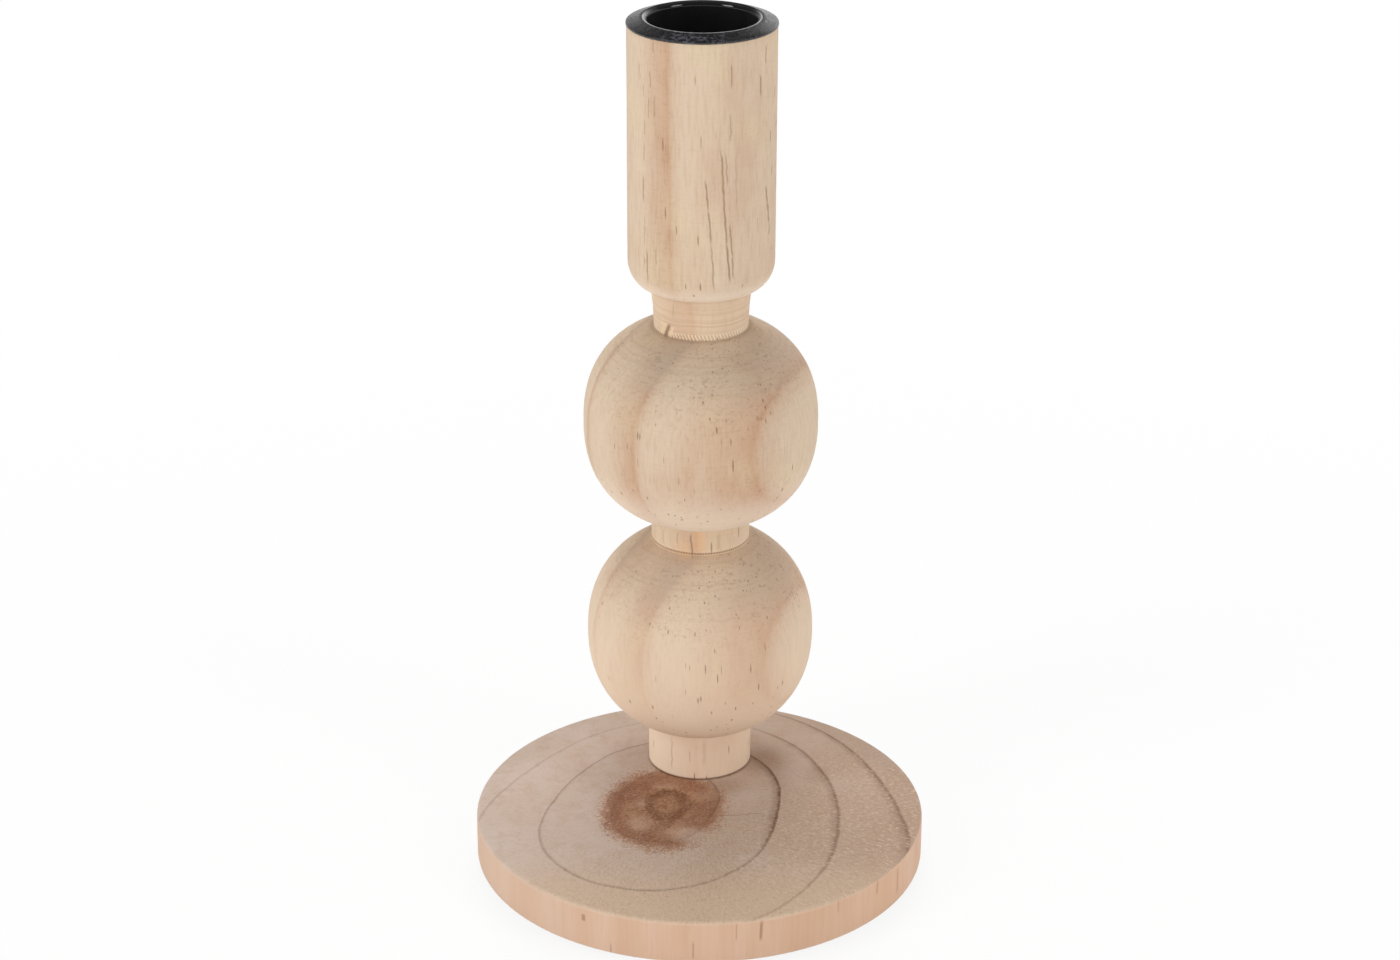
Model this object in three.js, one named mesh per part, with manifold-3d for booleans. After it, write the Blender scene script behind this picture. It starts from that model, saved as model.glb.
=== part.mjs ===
// A wooden candle holder: a turned stem with two balls, set back on a round wooden base,
// with a black metal cup in its top for a dinner candle.
//
// Millimetres, +Z up. The origin is the centre of the base disc, on the surface it stands on.
// The stem stands behind that centre, so that its upper ball ends flush with the disc's back edge.
// Every round piece is a profile of (radius, height) points turned about its own axis.

import * as THREE from "three";
import { mergeVertices } from "three/addons/utils/BufferGeometryUtils.js";
import Module from "manifold-3d";

const wasm = await Module();
wasm.setup();

// Base disc
const baseRadius = 48.7;
const baseThickness = 9.7;
const baseEdgeRadius = 0.8;

// Stem, from the base upwards. A ball's height is a little less than its width.
const footRadius = 11.4;
const footHeight = 10.5;
const lowerBallRadius = 24.85;
const lowerBallHeightShare = 0.961;
const lowerBallFullness = 2.23;
const middleNeckRadius = 10.7;
const middleNeckHeight = 5.95;
const upperBallRadius = 25.3;
const upperBallHeightShare = 0.912;
const upperBallFullness = 2.35;
const upperNeckRadius = 10.1;
const upperNeckHeight = 9.1;
const upperNeckFlare = 0.7;
const barrelRadius = 15.6;
const barrelHeight = 56.7;
const barrelShoulderHeight = 6;
const spigotRadius = 7;
const spigotLength = 3;

// Candle cup, pressed from sheet
const cupSheet = 0.8;
const cupMouthRadius = 11.4;
const cupFloorRadius = 11.2;
const cupDepth = 22;
const cupCornerRadius = 1.2;
const cupLipRadius = 1.1;
const flangeRadius = 15.75;
const flangeRise = 1.5;
const flangeEdgeHeight = 0.5;

// Countersunk wood screw that holds the stem from beneath
const screwLength = 35;
const screwHeadRadius = 3.9;
const screwHeadRimHeight = 0.4;
const screwShankRadius = 1.4;
const screwPlainLength = 8;
const screwThreadRadius = 2;
const screwThreadPitch = 1.8;
const screwTipLength = 4;
const screwHeadSink = 0.5;
const recessArmLength = 4.4;
const recessArmWidth = 1;
const recessDepth = 1.8;

// Felt pads under the base
const padRadius = 5;
const padThickness = 1.5;
const padInset = 3.7;

// Fits
const fitClearance = 0.3;

// Smoothness
const baseSegments = 72;
const stemSegments = 48;
const smallSegments = 32;
const screwSegments = 12;
const ringsPerPitch = 6;
const ballSteps = 8;
const roundingSteps = 4;

const unbleachedPine = { color: 0xd9c0a2, roughness: 0.75, metalness: 0 };
const endGrainPine = { color: 0xbb9a85, roughness: 0.8, metalness: 0 };
const blackLacquer = { color: 0x141414, roughness: 0.35, metalness: 0.3 };
const zincSteel = { color: 0xb9bcc0, roughness: 0.35, metalness: 1 };
const greyFelt = { color: 0x4a4744, roughness: 1, metalness: 0 };

const stemSetBack = baseRadius - upperBallRadius;
const baseTop = padThickness + baseThickness;

// Quarter of an ellipse about (radius, height), from one angle to another in degrees,
// where 0 points outwards and 90 points up.
function arc(radius, height, acrossRadius, upRadius, from, to, steps = roundingSteps) {
  const points = [];
  for (let i = 0; i <= steps; i++) {
    const angle = THREE.MathUtils.degToRad(from + ((to - from) * i) / steps);
    points.push([radius + acrossRadius * Math.cos(angle), height + upRadius * Math.sin(angle)]);
  }
  return points;
}

// A solid of revolution about Z. The profile goes round the material anticlockwise,
// with the radius to the right and the height up, and starts and ends on the axis.
function turned(profile, segments) {
  const points = profile.map(([radius, height]) => new THREE.Vector2(radius, height));
  const geometry = new THREE.LatheGeometry(points, segments);
  geometry.rotateX(Math.PI / 2);
  return joined(geometry);
}

// The same surface with its shared vertices merged, so that it is closed.
function joined(geometry) {
  geometry.deleteAttribute("normal");
  geometry.deleteAttribute("uv");
  return mergeVertices(geometry, 1e-4);
}

function solidOf(geometry) {
  return new wasm.Manifold(
    new wasm.Mesh({
      numProp: 3,
      vertProperties: new Float32Array(geometry.getAttribute("position").array),
      triVerts: new Uint32Array(geometry.index.array),
    }),
  );
}

function geometryOf(solid) {
  const mesh = solid.getMesh();
  const geometry = new THREE.BufferGeometry();
  geometry.setAttribute("position", new THREE.BufferAttribute(mesh.vertProperties, 3));
  geometry.setIndex(new THREE.BufferAttribute(mesh.triVerts, 1));
  return geometry;
}

function piece(name, geometry, finish, x, y, z) {
  const mesh = new THREE.Mesh(geometry, new THREE.MeshStandardMaterial(finish));
  mesh.geometry.computeVertexNormals();
  mesh.name = name;
  mesh.position.set(x, y, z);
  return mesh;
}

// How far above a ball's centre its surface has drawn in to a neck's radius.
// The balls are a little fuller than an ellipse: (r/a)^n + (h/b)^n = 1.
function neckHeightOnBall(neckRadius, ballRadius, halfHeight, fullness) {
  return halfHeight * (1 - (neckRadius / ballRadius) ** fullness) ** (1 / fullness);
}

const lowerBallHalfHeight = lowerBallRadius * lowerBallHeightShare;
const upperBallHalfHeight = upperBallRadius * upperBallHeightShare;
const lowerBallCentre =
  footHeight + neckHeightOnBall(footRadius, lowerBallRadius, lowerBallHalfHeight, lowerBallFullness);
const lowerBallTop =
  lowerBallCentre +
  neckHeightOnBall(middleNeckRadius, lowerBallRadius, lowerBallHalfHeight, lowerBallFullness);
const upperBallBottom = lowerBallTop + middleNeckHeight;
const upperBallCentre =
  upperBallBottom +
  neckHeightOnBall(middleNeckRadius, upperBallRadius, upperBallHalfHeight, upperBallFullness);
const upperBallTop =
  upperBallCentre +
  neckHeightOnBall(upperNeckRadius, upperBallRadius, upperBallHalfHeight, upperBallFullness);
const barrelBottom = upperBallTop + upperNeckHeight;
const stemTop = barrelBottom + barrelHeight;

// Ball surface from the neck below it, through its equator, to the neck above it.
function ballProfile(centre, radius, halfHeight, fullness, radiusBelow, radiusAbove) {
  const angleAt = (neckRadius) => Math.acos((neckRadius / radius) ** (fullness / 2));
  const start = -angleAt(radiusBelow);
  const end = angleAt(radiusAbove);
  const points = [];
  for (let i = 0; i <= 2 * ballSteps; i++) {
    const angle = i < ballSteps ? start * (1 - i / ballSteps) : end * (i / ballSteps - 1);
    const out = radius * Math.cos(angle) ** (2 / fullness);
    const up = halfHeight * Math.sign(angle) * Math.abs(Math.sin(angle)) ** (2 / fullness);
    points.push([out, centre + up]);
  }
  return points;
}

// Depth of the screw above the base's top face, and the hole drilled for it.
const screwInStem = screwLength + screwHeadSink - baseThickness;
const pilotRadius = screwThreadRadius + fitClearance;
const pilotTop = screwInStem + fitClearance;

// Heights of the cup, measured from the top of the wood that its flange stands on.
const cupFloorTop = flangeRise - cupDepth;
const cupFloorUnderside = cupFloorTop - cupSheet;
const cupBoreRadius = cupMouthRadius + cupSheet + fitClearance;
const cupBoreFloor = stemTop + cupFloorUnderside - fitClearance;

// Stem: one turned piece. Its shoulder stands on the base's top face at height 0.
function stem() {
  const shoulderStart = upperNeckRadius + upperNeckFlare;
  const shoulderWidth = barrelRadius - shoulderStart;
  const neckFlareBottom = upperBallTop + upperNeckHeight / 2;
  return turned(
    [
      [0, pilotTop],
      [pilotRadius, pilotTop],
      [pilotRadius, -spigotLength],
      [spigotRadius, -spigotLength],
      [spigotRadius, 0],
      [footRadius, 0],
      ...ballProfile(
        lowerBallCentre,
        lowerBallRadius,
        lowerBallHalfHeight,
        lowerBallFullness,
        footRadius,
        middleNeckRadius,
      ),
      ...ballProfile(
        upperBallCentre,
        upperBallRadius,
        upperBallHalfHeight,
        upperBallFullness,
        middleNeckRadius,
        upperNeckRadius,
      ),
      [upperNeckRadius + upperNeckFlare / 4, neckFlareBottom],
      ...arc(
        shoulderStart,
        barrelBottom + barrelShoulderHeight,
        shoulderWidth,
        barrelShoulderHeight,
        -90,
        0,
        2 * roundingSteps,
      ),
      [barrelRadius, stemTop],
      [cupBoreRadius, stemTop],
      [cupBoreRadius, cupBoreFloor],
      [0, cupBoreFloor],
    ],
    stemSegments,
  );
}

// Base: a slice of a trunk, with a socket for the stem's spigot, a hole for the screw
// and a countersink for its head. Height 0 is its underside.
function baseDisc() {
  const edge = baseRadius - baseEdgeRadius;
  const disc = turned(
    [
      [0, 0],
      ...arc(edge, baseEdgeRadius, baseEdgeRadius, baseEdgeRadius, -90, 0),
      ...arc(edge, baseThickness - baseEdgeRadius, baseEdgeRadius, baseEdgeRadius, 0, 90),
      [0, baseThickness],
    ],
    baseSegments,
  );
  const past = 1;
  const countersinkRadius = screwHeadRadius + fitClearance;
  const countersinkRim = screwHeadSink + screwHeadRimHeight;
  const socketFloor = baseThickness - spigotLength - fitClearance;
  const cutter = turned(
    [
      [0, -past],
      [countersinkRadius, -past],
      [countersinkRadius, countersinkRim],
      [pilotRadius, countersinkRim + countersinkRadius - pilotRadius],
      [pilotRadius, socketFloor],
      [spigotRadius + fitClearance, socketFloor],
      [spigotRadius + fitClearance, baseThickness + past],
      [0, baseThickness + past],
    ],
    stemSegments,
  );
  cutter.translate(0, stemSetBack, 0);
  return geometryOf(solidOf(disc).subtract(solidOf(cutter)));
}

// Candle cup: one pressed sheet with a closed floor. The flange slopes down to its edge,
// which stands on the wood at height 0.
function candleCup() {
  const rimRadius = cupMouthRadius + cupLipRadius;
  const slope = (flangeRise - flangeEdgeHeight) / (flangeRadius - rimRadius);
  const slopeDegrees = THREE.MathUtils.radToDeg(Math.atan(slope));
  const sheetAcrossSlope = cupSheet * Math.hypot(1, slope);
  const edgeInside = rimRadius + (flangeRise - sheetAcrossSlope) / slope;
  const wallOutside = cupMouthRadius + cupSheet;
  const underFlange = flangeRise - sheetAcrossSlope - slope * (wallOutside - rimRadius);
  const outerCorner = cupCornerRadius + cupSheet;
  const floorOutside = cupFloorRadius + cupSheet;
  const edgeSoftening = flangeEdgeHeight / 3;
  return turned(
    [
      [0, cupFloorUnderside],
      ...arc(
        floorOutside - outerCorner,
        cupFloorUnderside + outerCorner,
        outerCorner,
        outerCorner,
        -90,
        0,
      ),
      [wallOutside, underFlange],
      [edgeInside, 0],
      [flangeRadius, 0],
      [flangeRadius, flangeEdgeHeight - edgeSoftening],
      [flangeRadius - edgeSoftening, flangeEdgeHeight + slope * edgeSoftening],
      ...arc(
        rimRadius,
        flangeRise - cupLipRadius,
        cupLipRadius,
        cupLipRadius,
        90 - slopeDegrees,
        180,
      ),
      ...arc(
        cupFloorRadius - cupCornerRadius,
        cupFloorTop + cupCornerRadius,
        cupCornerRadius,
        cupCornerRadius,
        0,
        -90,
      ),
      [0, cupFloorTop],
    ],
    stemSegments,
  );
}

// Threaded part of the screw, from its start up to the point: rings of vertices whose radius
// rises to the thread's crest where the helix passes.
function screwThread(start, end) {
  const coneStart = end - screwTipLength;
  const rings = Math.round(((end - start) / screwThreadPitch) * ringsPerPitch);
  const crest = 1 / ringsPerPitch;
  const positions = [];
  for (let ring = 0; ring < rings; ring++) {
    const height = start + ((end - start) * ring) / rings;
    const taper = Math.min(1, (end - height) / (end - coneStart));
    for (let side = 0; side < screwSegments; side++) {
      const turns = (height - start) / screwThreadPitch - side / screwSegments;
      const fromCrest = Math.abs(turns - Math.round(turns));
      const rise = ring === 0 ? 0 : Math.max(0, Math.min(1, 2 - fromCrest / (crest / 2)));
      const radius = taper * (screwShankRadius + (screwThreadRadius - screwShankRadius) * rise);
      const angle = (2 * Math.PI * side) / screwSegments;
      positions.push(radius * Math.cos(angle), radius * Math.sin(angle), height);
    }
  }
  positions.push(0, 0, start, 0, 0, end);
  const startCentre = rings * screwSegments;
  const point = startCentre + 1;
  const index = [];
  for (let side = 0; side < screwSegments; side++) {
    const next = (side + 1) % screwSegments;
    const last = (rings - 1) * screwSegments;
    index.push(startCentre, next, side, point, last + side, last + next);
    for (let ring = 0; ring < rings - 1; ring++) {
      const low = ring * screwSegments;
      const high = low + screwSegments;
      index.push(low + side, low + next, high + next, low + side, high + next, high + side);
    }
  }
  const geometry = new THREE.BufferGeometry();
  geometry.setAttribute("position", new THREE.Float32BufferAttribute(positions, 3));
  geometry.setIndex(index);
  return geometry;
}

// Screw, head down: its flat face is at height 0 and its point at its full length.
function baseScrew() {
  const neck = screwHeadRimHeight + screwHeadRadius - screwShankRadius;
  const threadStart = neck + screwPlainLength;
  const overlap = screwThreadPitch / ringsPerPitch;
  const head = turned(
    [
      [0, 0],
      [screwHeadRadius, 0],
      [screwHeadRadius, screwHeadRimHeight],
      [screwShankRadius, neck],
      [screwShankRadius, threadStart + overlap],
      [0, threadStart + overlap],
    ],
    2 * screwSegments,
  );
  let screw = solidOf(head).add(solidOf(screwThread(threadStart, screwLength)));
  for (const [across, along] of [
    [recessArmLength, recessArmWidth],
    [recessArmWidth, recessArmLength],
  ]) {
    const arm = joined(new THREE.BoxGeometry(across, along, 2 * recessDepth));
    screw = screw.subtract(solidOf(arm));
  }
  return geometryOf(screw);
}

function feltPad() {
  return turned(
    [
      [0, 0],
      [padRadius, 0],
      [padRadius, padThickness],
      [0, padThickness],
    ],
    smallSegments,
  );
}

const candleHolder = new THREE.Group();
candleHolder.add(
  piece("base_disc", baseDisc(), endGrainPine, 0, 0, padThickness),
  piece("stem", stem(), unbleachedPine, 0, stemSetBack, baseTop),
  piece("candle_cup", candleCup(), blackLacquer, 0, stemSetBack, baseTop + stemTop),
  piece("base_screw", baseScrew(), zincSteel, 0, stemSetBack, padThickness + screwHeadSink),
);

const padCircle = baseRadius - padInset - padRadius;
for (const [side, degrees] of [
  ["right", 0],
  ["back", 90],
  ["left", 180],
  ["front", 270],
]) {
  const angle = THREE.MathUtils.degToRad(degrees);
  const x = padCircle * Math.cos(angle);
  const y = padCircle * Math.sin(angle);
  candleHolder.add(piece(`felt_pad_${side}`, feltPad(), greyFelt, x, y, 0));
}

export default candleHolder;
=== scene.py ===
# %% [markdown]
# A turned pine candle holder: a straight barrel and two balls on a stem, set back on a slice of
# trunk, with a black metal cup in its top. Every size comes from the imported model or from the
# turner's own sizes below, so each finished piece lies where its plain solid lies.

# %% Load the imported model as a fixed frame
import math

import bmesh
import bpy
from mathutils import Matrix, Vector


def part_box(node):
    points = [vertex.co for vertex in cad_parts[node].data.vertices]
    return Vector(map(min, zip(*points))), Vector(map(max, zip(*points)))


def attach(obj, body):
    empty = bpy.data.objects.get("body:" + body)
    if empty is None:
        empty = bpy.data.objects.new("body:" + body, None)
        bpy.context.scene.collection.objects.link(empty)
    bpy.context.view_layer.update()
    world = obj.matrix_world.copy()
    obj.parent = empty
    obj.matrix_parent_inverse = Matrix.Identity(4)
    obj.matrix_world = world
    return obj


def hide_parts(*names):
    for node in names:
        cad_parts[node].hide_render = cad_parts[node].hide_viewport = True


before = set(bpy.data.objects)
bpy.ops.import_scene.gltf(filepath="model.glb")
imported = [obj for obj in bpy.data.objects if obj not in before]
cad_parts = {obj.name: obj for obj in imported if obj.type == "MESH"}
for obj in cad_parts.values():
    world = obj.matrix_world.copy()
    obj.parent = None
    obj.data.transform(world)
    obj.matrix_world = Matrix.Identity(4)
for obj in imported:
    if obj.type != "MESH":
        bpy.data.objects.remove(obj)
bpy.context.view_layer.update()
print("nodes:", ", ".join(sorted(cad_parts)))

# %% [markdown]
# The frame gives each piece's place. The stem's axis is the middle of the cup, and it stands on
# the top of the disc. Profiles are easier to read in millimetres, so they stay in them until the
# mesh is made.

# %% Read the places of the pieces from the frame
MM = 0.001


def box_in_mm(node):
    low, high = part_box(node)
    return low / MM, high / MM


disc_low, disc_high = box_in_mm("base_disc")
cup_low, cup_high = box_in_mm("candle_cup")
stem_low, stem_high = box_in_mm("stem")
screw_low, screw_high = box_in_mm("base_screw")
pad_low, pad_high = box_in_mm("felt_pad_front")
axis_y = (cup_low.y + cup_high.y) / 2
print(f"stem axis {axis_y:.2f} mm behind the disc's centre, on top of the disc at {disc_high.z:.2f} mm")

# %% [markdown]
# These are the turner's sizes, bottom to top, in millimetres: a foot, a ball, a neck, a second
# ball, a neck that flares, and the barrel with its rounded shoulder. A ball is a little flatter
# than a sphere and a little fuller than an ellipse, which its fullness says. Pieces that are glued
# or screwed together leave a small gap between them.

# %% Sizes of the turned stem
foot_radius = 11.4
foot_height = 10.5
lower_ball = {"radius": 24.85, "half_height": 24.85 * 0.961, "fullness": 2.23}
middle_neck_radius = 10.7
middle_neck_height = 5.95
upper_ball = {"radius": 25.3, "half_height": 25.3 * 0.912, "fullness": 2.35}
upper_neck_radius = 10.1
upper_neck_height = 9.1
upper_neck_flare = 0.7
barrel_radius = 15.6
barrel_height = 56.7
shoulder_height = 6.0
spigot_radius = 7.0
pilot_radius = 2.3
pilot_height = 26.1
cup_bore_radius = 12.5
fitting_gap = 0.3
stem_axis = (0, axis_y, 0)


def height_on_ball(ball, neck_radius):
    """How far from a ball's middle its surface has drawn in to a neck's radius."""
    share = (neck_radius / ball["radius"]) ** ball["fullness"]
    return ball["half_height"] * (1 - share) ** (1 / ball["fullness"])


foot_bottom = disc_high.z
lower_ball["middle"] = foot_bottom + foot_height + height_on_ball(lower_ball, foot_radius)
neck_bottom = lower_ball["middle"] + height_on_ball(lower_ball, middle_neck_radius)
neck_top = neck_bottom + middle_neck_height
upper_ball["middle"] = neck_top + height_on_ball(upper_ball, middle_neck_radius)
upper_neck_bottom = upper_ball["middle"] + height_on_ball(upper_ball, upper_neck_radius)
barrel_bottom = upper_neck_bottom + upper_neck_height
barrel_top = barrel_bottom + barrel_height
print(f"stem's top at {barrel_top:.2f} mm; the frame has it at {stem_high.z:.2f} mm")

# %% [markdown]
# A profile is a list of (radius, height) points that goes round the wood anticlockwise, from the
# axis to the axis. Round stretches come from an arc, straight ones from evenly spaced points, so
# that the skin of the finished piece has faces of an even size.

# %% Shapes that a profile is made of
def arc(radius, height, across, up, start, end, steps):
    """Part of an ellipse about (radius, height). At 0 degrees it points outwards, at 90 up."""
    angles = [math.radians(start + (end - start) * i / steps) for i in range(steps + 1)]
    return [(radius + across * math.cos(a), height + up * math.sin(a)) for a in angles]


def straight(start, end, steps):
    """Evenly spaced points from start up to, but without, end."""
    return [
        tuple(a + (b - a) * i / steps for a, b in zip(start, end))
        for i in range(steps)
    ]


def ball_profile(ball, radius_below, radius_above, steps):
    """A ball's surface from the neck below it to the neck above it."""
    def angle_at(radius):
        return math.acos((radius / ball["radius"]) ** (ball["fullness"] / 2))

    start, end, power = -angle_at(radius_below), angle_at(radius_above), 2 / ball["fullness"]
    points = []
    for i in range(steps + 1):
        angle = start + (end - start) * i / steps
        out = ball["radius"] * math.cos(angle) ** power
        up = ball["half_height"] * math.copysign(abs(math.sin(angle)) ** power, angle)
        points.append((out, ball["middle"] + up))
    return points


def groove_depth(grooves, height):
    """How deep V grooves, each (height, width, depth), cut at a height."""
    depths = [depth * (1 - abs(height - middle) / (width / 2)) for middle, width, depth in grooves]
    return max(0, *depths)


def grooved(points, grooves):
    """Cuts fine grooves into a nearly upright stretch."""
    return [(radius - groove_depth(grooves, height), height) for radius, height in points]


quick_ball = ball_profile(upper_ball, middle_neck_radius, upper_neck_radius, 4)
print("radii of the upper ball, bottom to top:", [round(radius, 1) for radius, _ in quick_ball])

# %% [markdown]
# The stem's profile runs from the pilot hole for the screw, round the spigot and the foot, up
# over both balls to the barrel, and back down the bore that holds the cup. The tool left fine
# grooves: two at the foot of the middle neck, and a few where the upper neck meets the shoulder.

# %% Profile of the stem
edge_break = 0.25
ball_steps = 72
middle_neck_grooves = [(neck_bottom + 0.45, 0.5, 0.12), (neck_bottom + 1.15, 0.4, 0.06)]
upper_neck_grooves = [
    (upper_neck_bottom + 0.35, 0.4, 0.1),
    (barrel_bottom - 2.6, 0.4, 0.05),
    (barrel_bottom - 1.2, 0.4, 0.08),
]


def stem_profile():
    pilot_top = foot_bottom + pilot_height
    bore_floor = cup_low.z - fitting_gap
    shoulder_radius = upper_neck_radius + upper_neck_flare
    shoulder_top = barrel_bottom + shoulder_height
    neck_low = (upper_neck_radius, upper_neck_bottom + 0.15)
    neck_middle = (upper_neck_radius + upper_neck_flare / 4, upper_neck_bottom + upper_neck_height / 2)
    neck_high = (shoulder_radius, barrel_bottom)
    upper_neck = straight(neck_low, neck_middle, 22) + straight(neck_middle, neck_high, 22)
    middle_neck = straight((middle_neck_radius, neck_bottom + 0.1), (middle_neck_radius, neck_top), 32)
    return [
        (0, pilot_top),
        (pilot_radius, pilot_top),
        (pilot_radius, stem_low.z),
        (spigot_radius, stem_low.z),
        (spigot_radius, foot_bottom),
        (foot_radius - edge_break, foot_bottom),
        *arc(foot_radius - edge_break, foot_bottom + edge_break, edge_break, edge_break, -80, 0, 4),
        *straight((foot_radius, foot_bottom + 1), (foot_radius, foot_bottom + foot_height), 8),
        *ball_profile(lower_ball, foot_radius, middle_neck_radius, ball_steps),
        *grooved(middle_neck, middle_neck_grooves),
        *ball_profile(upper_ball, middle_neck_radius, upper_neck_radius, ball_steps),
        *grooved(upper_neck, upper_neck_grooves),
        *arc(shoulder_radius, shoulder_top, barrel_radius - shoulder_radius, shoulder_height, -90, 0, 20),
        *straight((barrel_radius, shoulder_top + 2), (barrel_radius, barrel_top - edge_break), 20),
        *arc(barrel_radius - edge_break, barrel_top - edge_break, edge_break, edge_break, 0, 90, 4),
        (cup_bore_radius, barrel_top),
        (cup_bore_radius, bore_floor),
        (0, bore_floor),
    ]


print("points on the stem's profile:", len(stem_profile()))

# %% [markdown]
# Patterns in wood are formulas: how far from the pith, how far along the grain. A Signal is a
# node's output that can be added and multiplied like a number. Each step adds a Math node, so a
# pattern below reads as a formula, in materials and in Geometry Nodes alike.

# %% A short way to write node trees
class Graph:
    """A node tree under construction."""

    def __init__(self, tree):
        self.tree = tree

    def feed(self, socket, value):
        """Links an output to a socket, or sets the socket's own value."""
        if isinstance(value, Signal):
            value = value.socket
        if isinstance(value, bpy.types.NodeSocket):
            self.tree.links.new(value, socket)
        else:
            socket.default_value = value

    def node(self, kind, inputs=None, **settings):
        made = self.tree.nodes.new(kind)
        for name, value in settings.items():
            setattr(made, name, value)
        for name, value in (inputs or {}).items():
            self.feed(made.inputs[name], value)
        return made

    def signal(self, kind, inputs=None, **settings):
        """The first output of a new node."""
        return Signal(self, self.node(kind, inputs, **settings).outputs[0])

    def math(self, operation, *values, clamp=False):
        inputs = dict(enumerate(values))
        return self.signal("ShaderNodeMath", inputs, operation=operation, use_clamp=clamp)

    def vector(self, x, y, z):
        return self.signal("ShaderNodeCombineXYZ", {0: x, 1: y, 2: z})

    def split(self, vector):
        node = self.node("ShaderNodeSeparateXYZ", {0: vector})
        return [Signal(self, output) for output in node.outputs]


class Signal:
    """A node's output, which takes part in sums like a number."""

    def __init__(self, graph, socket):
        self.graph = graph
        self.socket = socket

    def __add__(self, other):
        return self.graph.math("ADD", self, other)

    def __radd__(self, other):
        return self.graph.math("ADD", other, self)

    def __sub__(self, other):
        return self.graph.math("SUBTRACT", self, other)

    def __rsub__(self, other):
        return self.graph.math("SUBTRACT", other, self)

    def __mul__(self, other):
        return self.graph.math("MULTIPLY", self, other)

    def __rmul__(self, other):
        return self.graph.math("MULTIPLY", other, self)

    def __truediv__(self, other):
        return self.graph.math("DIVIDE", self, other)

    def __abs__(self):
        return self.graph.math("ABSOLUTE", self)


def distance(x, y):
    """Length of the flat vector (x, y)."""
    return x.graph.math("SQRT", x * x + y * y)


def step(value, low, high, start=0.0, end=1.0):
    """Goes smoothly from start to end as value goes from low to high."""
    inputs = {"Value": value, "From Min": low, "From Max": high, "To Min": start, "To Max": end}
    return value.graph.signal("ShaderNodeMapRange", inputs, interpolation_type="SMOOTHSTEP")


def between(value, low, high, soft):
    """1 between low and high, fading over soft at each end."""
    return step(value, low - soft, low) * step(value, high, high + soft, 1.0, 0.0)


def most(first, *others):
    """The greatest of several signals."""
    for other in others:
        first = first.graph.math("MAXIMUM", first, other)
    return first


def noise(place, sizes, detail=2.0, roughness=0.5):
    """Cloudy noise about 0.5, with features of about the three sizes."""
    scale = [1 / size for size in sizes]
    scaled = place.graph.signal("ShaderNodeVectorMath", {0: place, 1: scale}, operation="MULTIPLY")
    inputs = {"Vector": scaled, "Scale": 1.0, "Detail": detail, "Roughness": roughness}
    return place.graph.signal("ShaderNodeTexNoise", inputs)


# %% [markdown]
# Every round piece here came off a lathe, and Geometry Nodes can be one. The tree lays a grid
# over the profile's points and the steps of a turn, looks each point up in the profile, and
# swings it about the axis. Merging by distance closes the seam and the poles. A little relief,
# in metres like its sizes, is the unevenness of sanding by hand. Swung like this, the grid's
# faces point inwards, so they are flipped last. One tree turns the stem, the disc, the cup, the
# pads and the screw.

# %% A lathe made of Geometry Nodes
RELIEF_SIZES = (1 / 70, 1 / 70, 1 / 45)
MERGE_DISTANCE = 2e-6


def group_tree(name, sockets):
    """A Geometry Nodes tree with the named inputs: its Graph, those inputs and its output."""
    tree = bpy.data.node_groups.new(name, "GeometryNodeTree")
    for label, kind in sockets.items():
        tree.interface.new_socket(label, in_out="INPUT", socket_type="NodeSocket" + kind)
    tree.interface.new_socket("Geometry", in_out="OUTPUT", socket_type="NodeSocketGeometry")
    graph = Graph(tree)
    return graph, graph.node("NodeGroupInput").outputs, graph.node("NodeGroupOutput").inputs[0]


def lathe_tree():
    sockets = {"Profile": "Geometry", "Points": "Int", "Segments": "Int", "Relief": "Float"}
    graph, given, result = group_tree("Lathe", sockets)
    segments = Signal(graph, given["Segments"])
    columns = segments + 1
    grid = graph.signal("GeometryNodeMeshGrid", {"Vertices X": given["Points"], "Vertices Y": columns})
    index = graph.signal("GeometryNodeInputIndex")
    row = graph.math("FLOOR", (index + 0.5) / columns)
    column = index - row * columns
    angle = column / segments * (2 * math.pi)
    position = graph.signal("GeometryNodeInputPosition")
    point = graph.signal(
        "GeometryNodeSampleIndex",
        {"Geometry": given["Profile"], "Value": position, "Index": row},
        data_type="FLOAT_VECTOR",
        domain="POINT",
    )
    radius, _, height = graph.split(point)
    place = graph.vector(radius * graph.math("COSINE", angle), radius * graph.math("SINE", angle), height)
    placed = graph.signal("GeometryNodeSetPosition", {"Geometry": grid, "Position": place})
    merging = {"Geometry": placed, "Distance": MERGE_DISTANCE}
    merged = graph.signal("GeometryNodeMergeByDistance", merging)
    push = (noise(position, RELIEF_SIZES, detail=1.0) - 0.5) * given["Relief"]
    along_normal = {0: graph.signal("GeometryNodeInputNormal"), "Scale": push}
    offset = graph.signal("ShaderNodeVectorMath", along_normal, operation="SCALE")
    sanded = graph.signal("GeometryNodeSetPosition", {"Geometry": merged, "Offset": offset})
    graph.feed(result, graph.signal("GeometryNodeFlipFaces", {"Mesh": sanded}))
    return graph.tree


lathe = lathe_tree()
print("the lathe has", len(lathe.nodes), "nodes")

# %% [markdown]
# A second tree finishes whatever the lathe made: it turns one or two profiles, cuts the second
# out of the first where there is one, keeps crisp edges crisp, and gives the skin its material.
# The screw's and the pads' own trees end in the same way.

# %% Trees for turned pieces
SHARP_EDGE = math.radians(32)


def profile_sockets(number=1):
    return {f"Profile {number}": "Object", f"Points {number}": "Int", f"Segments {number}": "Int"}


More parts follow.
